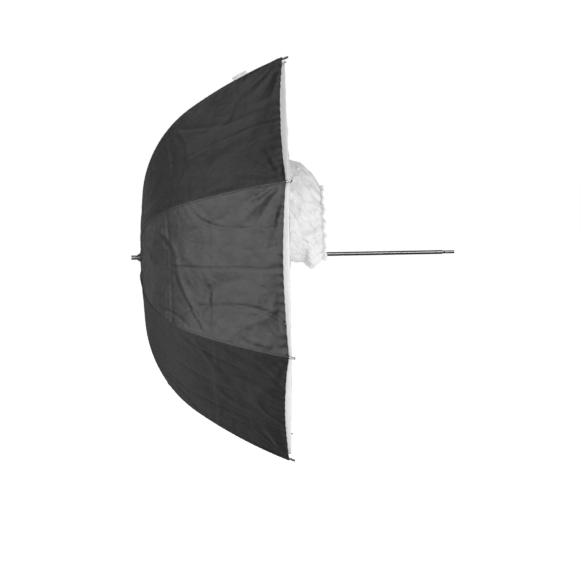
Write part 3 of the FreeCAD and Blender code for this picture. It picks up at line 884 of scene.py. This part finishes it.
for rib in range(RIB_COUNT):
    for length in SEAM_LENGTHS:
        seam_strip(rib, *length)
        seam_stitches(rib, *length)
print("seam bands and meshes of stitches:", 2 * RIB_COUNT * len(SEAM_LENGTHS))

# %% [markdown]
# The front cloth is one white sheet with an eight-sided edge and a hole above its middle for the sleeve.
# Its edge turns back under the canopy's hem, and that turned edge is the white line that shows beside the
# black hem. It is drawn in eight sectors, each about one rib, because each rib takes its part of the
# front along when it folds. Each column of a sector runs from the hole, which is a circle that isn't
# centred on the shaft, over the edge to the end of the turned part.

# %% Front cloth
FRONT_OUT = 0.4148
HOLE_R, HOLE_UP = 0.105, 0.091
TURN_BACK = 0.018  # between two ribs, and less than half of that at a rib
FRONT_COLUMNS, FRONT_ROWS = 41, 66
EDGE_ROWS = 7
EDGE_R = 0.0022
EDGE_WAVE = 0.0008
FRONT_FOLDS, FRONT_FOLD_HIGH = 5, 0.0011
NEAR_HOLE_HIGH, PLEAT_HIGH, SPOKE_HIGH = 0.0060, 0.0016, 0.0010

front_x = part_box("diffuser_panel_1")[1].x


def hole_out(turn):
    """How far the hole's edge is from the shaft, at an angle from the top."""
    return HOLE_UP * np.cos(turn) + np.sqrt(HOLE_R ** 2 - (HOLE_UP * np.sin(turn)) ** 2)


def from_flat(turn):
    """The angle to the middle of the nearest of the edge's eight sides."""
    return (turn + STEP / 2) % STEP - STEP / 2


def front_edge(turn):
    """How far the eight-sided edge is from the shaft."""
    return FRONT_OUT * math.cos(STEP / 2) / np.cos(from_flat(turn)) - EDGE_WAVE * np.sin(turn * 97) ** 2


def turn_directions(turn):
    """outwards() for an array of angles."""
    return np.stack([np.zeros_like(turn), -np.sin(turn), np.cos(turn)], axis=-1)


def front_relief(turn, out):
    """How far the front cloth stands out: tight folds from the hole and the edge, and a slight billow."""
    from_hole, from_edge = out - hole_out(turn), front_edge(turn) - out
    lift = NEAR_HOLE_HIGH * np.exp(-from_hole / 0.030)
    pleats = np.sin(turn * 52 + 2.2 * smooth_noise(turn * 9, out * 14, 901))
    lift += PLEAT_HIGH * pleats * np.exp(-from_hole / 0.050) * rise(from_hole, 0.0, 0.010)
    spokes = np.sin(turn * 64 + 2.4 * smooth_noise(turn * 7, out * 9, 902))
    lift += SPOKE_HIGH * spokes * np.exp(-from_edge / 0.060) * rise(from_edge, 0.0, 0.012)
    inside = rise(from_hole, 0.01, 0.04) * rise(from_edge, 0.01, 0.05)
    for k in range(FRONT_FOLDS):
        line = smooth_noise(turn * 5 + 7 * k, out * 8 + 3 * k, 910 + k)
        lift += (-1) ** k * FRONT_FOLD_HIGH * ridge(line, 0.06) * inside
    billow = 0.0022 * smooth_noise(turn * 3.1, out * 7, 903)
    billow += 0.0006 * smooth_noise(turn * 14, out * 30, 904)
    return lift + billow * rise(from_edge, 0.0, 0.05)


def front_grid(angle):
    """A sector of the front about a rib, from the hole to the end of the turned edge."""
    edge_turn = np.linspace(angle - STEP / 2, angle + STEP / 2, FRONT_COLUMNS)
    turn = np.repeat(edge_turn[None, :], FRONT_ROWS, 0)
    share = np.linspace(0, 1, FRONT_ROWS)[:, None] ** 0.9
    inside, edge = hole_out(turn), front_edge(turn) - EDGE_R
    out = inside + (edge - inside) * share
    face = turn_directions(turn) * out[..., None]
    face[..., 0] = front_x - 0.0005 + front_relief(turn, out) * (1 - share) ** 0.02
    swing = np.linspace(0, math.pi / 2, EDGE_ROWS - 2)[1:]
    flap = TURN_BACK * (0.42 + 0.58 * np.cos(from_flat(edge_turn) * math.pi / STEP))
    bend = [(EDGE_R * math.sin(a), EDGE_R * (math.cos(a) - 1), 0.0) for a in swing]
    bend += [(EDGE_R, -EDGE_R, 0.5), (EDGE_R - 0.0006, -EDGE_R, 1.0)]
    last = face[-1]
    rows = []
    for outward, back, flap_share in bend:
        row = last + turn_directions(edge_turn) * outward
        row[:, 0] += back - flap * flap_share + 0.0005 * np.sin(edge_turn * 170 + back * 500)
        rows.append(row)
    points = np.concatenate([face, np.stack(rows)])
    steps = np.linalg.norm(np.diff(points[:, FRONT_COLUMNS // 2], axis=0), axis=1)
    length = np.cumsum(np.concatenate([[0.0], steps]))
    across = (angle - edge_turn) * FRONT_OUT * 0.6
    cloth = np.stack(np.broadcast_arrays(across[None, :], length[:, None]), axis=-1)
    outside = np.repeat(np.array([[[1.0, 0, 0]]]), len(points), 0) + turn_directions(edge_turn)[None] * 0.2
    return points, grid_normals(points, outside), cloth


def front_sector(rib):
    """A sector of the front, on its rib's body."""
    points, normals, cloth = front_grid(rib_angles[rib])
    piece = shell(f"front_cloth_{rib + 1}", points, normals, CLOTH_THICK, [front_cloth], cloth)
    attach(piece, f"diffuser_body_{rib + 1}")
    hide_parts(f"diffuser_panel_{rib + 1}")
    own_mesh(piece)
    length = FRONT_OUT - float(hole_out(np.array(rib_angles[rib])))
    width = 2 * FRONT_OUT * math.sin(STEP / 2)
    min(grid_area(points), width * (length + TURN_BACK))
    return piece


front = [front_sector(rib) for rib in range(RIB_COUNT)]
print("front sectors:", len(front), "face at x", round(front_x, 4))

# %% [markdown]
# The sleeve is the one truly slack piece, so it is simulated: a cone of cloth, cut a good deal larger
# than the space between the hole and the flash head, is held at both rings and dropped under gravity.
# `shrink_min` below zero makes the cloth larger than it is drawn. The simulated points are then read back
# into the grid, because the grid keeps its rows and columns, and that makes it easy to close it into a
# shell and to cut it into sectors.

# %% Sleeve simulation
MOUTH_R, MOUTH_UP = 0.071, 0.064
CONE_START = 0.0045  # from the front's face to the sleeve's first row
SLEEVE_COLUMNS, SLEEVE_ROWS = 168, 34
SLACK = -0.09
SETTLE_FRAMES = 42

mouth_low, mouth_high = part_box("sleeve_elastic")
mouth_x = (mouth_low.x + mouth_high.x) / 2


def ring_point(share, turn):
    """A point of the straight cone, a share of the way from the hole to the mouth."""
    radius = HOLE_R + (MOUTH_R - HOLE_R) * share
    centre = HOLE_UP + (MOUTH_UP - HOLE_UP) * share
    x = front_x + CONE_START + (mouth_x - front_x - CONE_START) * share
    return np.stack(np.broadcast_arrays(x, -radius * np.sin(turn), centre + radius * np.cos(turn)), axis=-1)


sleeve_turn = np.linspace(0, 2 * math.pi, SLEEVE_COLUMNS, endpoint=False)[None, :]
sleeve_share = np.linspace(0, 1, SLEEVE_ROWS)[:, None]
cone = ring_point(sleeve_share, sleeve_turn)
from_axis = cone.copy()
from_axis[..., 2] -= HOLE_UP + (MOUTH_UP - HOLE_UP) * sleeve_share
from_axis[..., 0] = 0
from_axis /= np.linalg.norm(from_axis, axis=2, keepdims=True)
start_folds = 0.0035 * np.sin(sleeve_turn * 13 + 4 * sleeve_share)
start_folds += 0.0030 * smooth_noise(sleeve_turn * 7, sleeve_share * 5, 77)
cone_start = cone + from_axis * (start_folds * np.sin(math.pi * sleeve_share))[..., None]


def simulate_sleeve(points):
    """Drops the sleeve, held at both rings, and gives its points."""
    rows, columns = points.shape[:2]
    at = np.arange(rows * columns).reshape(rows, columns)
    beside = np.roll(at, -1, axis=1)
    faces = np.stack([at[:-1], at[1:], beside[1:], beside[:-1]], axis=-1).reshape(-1, 4)
    mesh = bpy.data.meshes.new("sleeve_blank")
    mesh.from_pydata(points.reshape(-1, 3).tolist(), [], faces.tolist())
    blank = bpy.data.objects.new("sleeve_blank", mesh)
    bpy.context.scene.collection.objects.link(blank)
    held = blank.vertex_groups.new(name="held")
    held.add([int(i) for i in np.concatenate([at[0], at[-1]])], 1.0, "REPLACE")
    cloth = blank.modifiers.new("cloth", "CLOTH")
    settings = cloth.settings
    settings.quality = 6
    settings.mass = 0.08
    settings.tension_stiffness = settings.compression_stiffness = 12
    settings.shear_stiffness = 4
    settings.bending_stiffness = 0.04
    settings.shrink_min = SLACK
    settings.vertex_group_mass = "held"
    cloth.point_cache.frame_end = SETTLE_FRAMES
    for step in range(1, SETTLE_FRAMES + 1):
        bpy.context.scene.frame_set(step)
    seen = blank.evaluated_get(bpy.context.evaluated_depsgraph_get())
    found = np.zeros(rows * columns * 3, np.float32)
    seen.data.vertices.foreach_get("co", found)
    bpy.context.scene.frame_set(1)
    bpy.data.objects.remove(blank)
    bpy.data.meshes.remove(mesh)
    return found.reshape(rows, columns, 3).astype(float)


move = simulate_sleeve(cone_start) - cone
print("simulated sleeve moved by up to", round(float(np.linalg.norm(move, axis=2).max()) * 1000, 1), "mm")

# %% [markdown]
# The simulation has no air in it, and no flash head. So the upper side, which sank, is put back and
# puffed out a little, the lower side is kept from bulging near the front, and no point may go further
# from the cone than a limit.

# %% Fullness of the sleeve
FURTHEST_MOVE = 0.030
TOP_PUFF = 0.0240
TOP_KEPT, BOTTOM_KEPT = 0.15, 0.20  # what stays of the upper side's sinking and the lower side's bulge

on_top = rise(np.cos(sleeve_turn), -0.2, 0.7)[..., None]
inward = np.minimum((move * from_axis).sum(axis=2, keepdims=True), 0)
move -= from_axis * inward * (1 - TOP_KEPT) * on_top
move += from_axis * TOP_PUFF * on_top * np.sin(math.pi * sleeve_share ** 1.5)[..., None]
on_bottom = (rise(-np.cos(sleeve_turn), 0.1, 0.8) * (1 - rise(sleeve_share, 0.40, 0.62)))[..., None]
outward = np.maximum((move * from_axis).sum(axis=2, keepdims=True), 0)
move -= from_axis * outward * (1 - BOTTOM_KEPT) * on_bottom
size = np.linalg.norm(move, axis=2, keepdims=True)
print("sleeve cloth moved by up to", round(float(size.max()) * 1000, 1), "mm")
sleeve_points = cone + move * np.minimum(1, FURTHEST_MOVE / np.maximum(size, 1e-9))

# %% [markdown]
# The mouth is gathered on an elastic, so the last stretch of the sleeve is thrown into narrow pleats,
# uneven in width, that die out towards the middle. The shaft leaves through the same mouth, so cloth that
# sagged on to it is moved aside.

# %% Folds of the sleeve
PLEATS = 34
PLEAT_DEEP, CRUMPLE_HIGH, SHARP_HIGH = 0.0020, 0.0010, 0.0017
SHARP_FOLDS = 6
SHAFT_ROOM = 0.0062  # from the shaft's middle to the cloth
BAG_TURN, BAG_DROP = math.radians(165), 0.008  # where the slack hangs lowest, and how much lower
MOUTH_LEAN = 0.005  # the mouth's lower side stands further out
CLOTH_R, CLOTH_LONG = 0.09, 0.085  # the size that the weave is laid out on


def pleat(turn):
    """The uneven wave of the gathers round the mouth."""
    return np.sin(turn * PLEATS + 2.6 * smooth_noise(turn * 4.0, turn * 0, 55))


gather = rise(sleeve_share, 0.62, 1.0)
crumple = smooth_noise(sleeve_turn * 9, sleeve_share * 9, 71)
crumple = crumple + 0.6 * smooth_noise(sleeve_turn * 21, sleeve_share * 17, 72)
creased = sum((-1) ** k * ridge(smooth_noise(sleeve_turn * 5 + 3 * k, sleeve_share * 3.4 + k, 80 + k), 0.10)
              for k in range(SHARP_FOLDS))
slack_share = np.sin(math.pi * np.clip(sleeve_share * 1.02, 0, 1)) ** 0.5
relief = PLEAT_DEEP * pleat(sleeve_turn) * gather
relief = relief + (CRUMPLE_HIGH * crumple + SHARP_HIGH * creased) * slack_share
sleeve_points = sleeve_points + from_axis * relief[..., None]
sleeve_points[..., 0] += 0.0014 * np.sin(sleeve_turn * PLEATS * 0.5 + 1.0) * gather
sleeve_points[..., 0] = np.maximum(sleeve_points[..., 0], front_x + 0.0008)
below = ridge(sleeve_turn - BAG_TURN, 0.62) * ridge(sleeve_share - 0.72, 0.22) * (1 - gather * 0.6)
sleeve_points[..., 2] -= BAG_DROP * below * (1 + 0.25 * smooth_noise(sleeve_turn * 8, sleeve_share * 4, 66))
sleeve_points[..., 0] += MOUTH_LEAN * (1 - np.cos(sleeve_turn)) / 2 * sleeve_share ** 2
shaft_away = np.hypot(sleeve_points[..., 1], sleeve_points[..., 2])
push = np.maximum(SHAFT_ROOM - shaft_away, 0)[..., None] * from_axis
sleeve_points = sleeve_points + push
sleeve_wrap = np.concatenate([sleeve_points[:, -2:], sleeve_points, sleeve_points[:, :3]], axis=1)
wrap_axis = np.concatenate([from_axis[:, -2:], from_axis, from_axis[:, :3]], axis=1)
sleeve_normals = grid_normals(sleeve_wrap, wrap_axis)[:, 2:-2]
sleeve_points = sleeve_wrap[:, 2:-2]
sleeve_radial = wrap_axis[:, 2:-2]
round_turn = np.linspace(0, 2 * math.pi, SLEEVE_COLUMNS + 1)
weave_ways = np.broadcast_arrays(round_turn[None, :] * CLOTH_R, sleeve_share * CLOTH_LONG)
sleeve_cloth_at = np.stack(weave_ways, axis=-1)
print("sleeve's x range:", np.round([sleeve_points[..., 0].min(), sleeve_points[..., 0].max()], 4))

# %% [markdown]
# The sleeve is cut into twelve sectors, which all ride the sleeve's body; nothing here draws them in
# towards the shaft. The elastic lies in a ruffled hem at the mouth, which is a tube with a wavy section, cut
# into the same sectors.

# %% Sleeve pieces
SECTORS = 12
HEM_SIDES = 13
HEM_WIDE, HEM_LONG, HEM_THICK = 0.016, 0.045, 0.0005


def towards_shaft(piece):
    """Puts a piece of the sleeve on the sleeve's body and gives it a mesh of its own."""
    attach(piece, "sleeve_body")
    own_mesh(piece)


def mouth_ring(first, last):
    """The ruffled hem about the elastic, over some of the sleeve's columns."""
    end = sleeve_points[-1, first:last + 1]
    radial = sleeve_radial[-1, first:last + 1]
    turn = round_turn[first:last + 1]
    swell = 0.0027 + 0.0005 * pleat(turn) + 0.0004 * smooth_noise(turn * 30, turn * 0, 56)
    rows = []
    for swing in np.linspace(0, 2 * math.pi, HEM_SIDES):
        row = end + radial * (swell * np.cos(swing))[:, None]
        row[:, 0] += swell * (0.9 + 1.15 * math.sin(swing))
        rows.append(row)
    points = np.stack(rows)
    centre = end + np.array([1.0, 0, 0]) * swell[:, None] * 0.9
    return points, grid_normals(points, points - centre[None])


def sleeve_sector(index):
    """A sector of the sleeve and of its gathered mouth."""
    width = SLEEVE_COLUMNS // SECTORS
    first, last = index * width, (index + 1) * width
    columns = slice(first, last + 1)
    points = sleeve_points[:, columns]
    centre = points.reshape(-1, 3).mean(axis=0)
    seen_turn = math.atan2(-centre[1], centre[2])
    body = shell(f"sleeve_cloth_{index + 1}", points, sleeve_normals[:, columns], CLOTH_THICK,
                 [sleeve_cloth], sleeve_cloth_at[:, columns])
    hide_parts("diffuser_sleeve")
    towards_shaft(body)
    plain = cone[:, columns]
    wide, long = 2 * math.pi * HOLE_R / SECTORS, float(np.linalg.norm(plain[-1, 0] - plain[0, 0]))
    min(grid_area(plain) * 1.33, wide * long * 1.34)
    ring_points, ring_normals = mouth_ring(first, last)
    ways = np.meshgrid(np.linspace(0, 0.05, ring_points.shape[1]), np.linspace(0, 0.014, HEM_SIDES))
    hem = shell(f"sleeve_mouth_hem_{index + 1}", ring_points, ring_normals, HEM_THICK, [sleeve_cloth],
                np.stack(ways, axis=-1))
    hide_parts("sleeve_elastic")
    towards_shaft(hem)
    return body, hem


sleeve = [sleeve_sector(index) for index in range(SECTORS)]
print("sleeve sectors:", len(sleeve))

# %% [markdown]
# When the umbrella is folded, a short strap of light-grey tape closes round it. Open, it is a flat loop
# that stands on edge along the top seam, where its two ends are sewn in. It is a ribbon that waves a
# little, with a ribbed weave, thick enough to show its edge.

# %% Tie strap
STRAP_TALL, STRAP_THICK, STRAP_WAVE = 0.0072, 0.0011, 0.0007
STRAP_SHADE, STRAP_BRIGHT = (0.46, 0.46, 0.46), (0.62, 0.62, 0.62)
STRAP_RIBS = 230.0
STRAP_COLUMNS, STRAP_ROWS = 25, 9

strap_finish = Finish("grey_strap_tape")
tape_place = strap_finish.node("ShaderNodeUVMap", {"uv_map": "cloth"})
tape_ribs = strap_finish.node("ShaderNodeTexWave", {"bands_direction": "Y"},
                              {"Vector": tape_place, "Scale": STRAP_RIBS}, "Fac")
soiling = strap_finish.clouds(120.0, 4.0)
tape_colour = strap_finish.between(tape_ribs * 0.4 + soiling * 0.6, STRAP_SHADE, STRAP_BRIGHT)
tape_normal = strap_finish.relief(tape_ribs, 0.0003)
tape = strap_finish.surface(tape_colour, 0.7 + soiling * 0.15, tape_normal, Sheen_Weight=0.2)
strap_tape = strap_finish.done(tape)

strap_low, strap_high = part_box("tie_strap")
strap_middle = np.array((strap_low + strap_high) / 2)
strap_along = float(np.interp(strap_middle[0], fine_x, fine))
strap_slope = float(np.interp(strap_along, fine, fine_angle))
along_strap = np.array([math.cos(strap_slope), 0, 0]) + math.sin(strap_slope) * outwards(rib_angles[0])
strap_up = np.array([-math.sin(strap_slope), 0, 0]) + math.cos(strap_slope) * outwards(rib_angles[0])
strap_side = around(rib_angles[0])
strap_long = float(strap_high.x - strap_low.x) / math.cos(strap_slope) * 0.97
lengthwise = np.linspace(-0.5, 0.5, STRAP_COLUMNS)[:, None, None]
upward_share = np.linspace(-0.5, 0.5, STRAP_ROWS)[None, :, None]
rounding = 1 - 0.10 * (2 * np.abs(lengthwise)) ** 6
strap_points = (strap_middle + along_strap * strap_long * lengthwise
                + strap_up * (STRAP_TALL * (upward_share * rounding))
                + strap_side * STRAP_WAVE * (np.sin(lengthwise * 9) * (upward_share + 0.5)))
strap_ways = np.meshgrid(np.linspace(0, STRAP_TALL, STRAP_ROWS), np.linspace(0, strap_long, STRAP_COLUMNS))
strap_normals = grid_normals(strap_points, strap_side)
strap = shell("tie_strap_tape", strap_points + strap_side * STRAP_THICK / 2, strap_normals, STRAP_THICK,
              [strap_tape], np.stack(strap_ways, axis=-1))
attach(strap, "outer_rib_1")
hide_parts("tie_strap")
print("strap length", round(strap_long * 1000, 1), "mm")
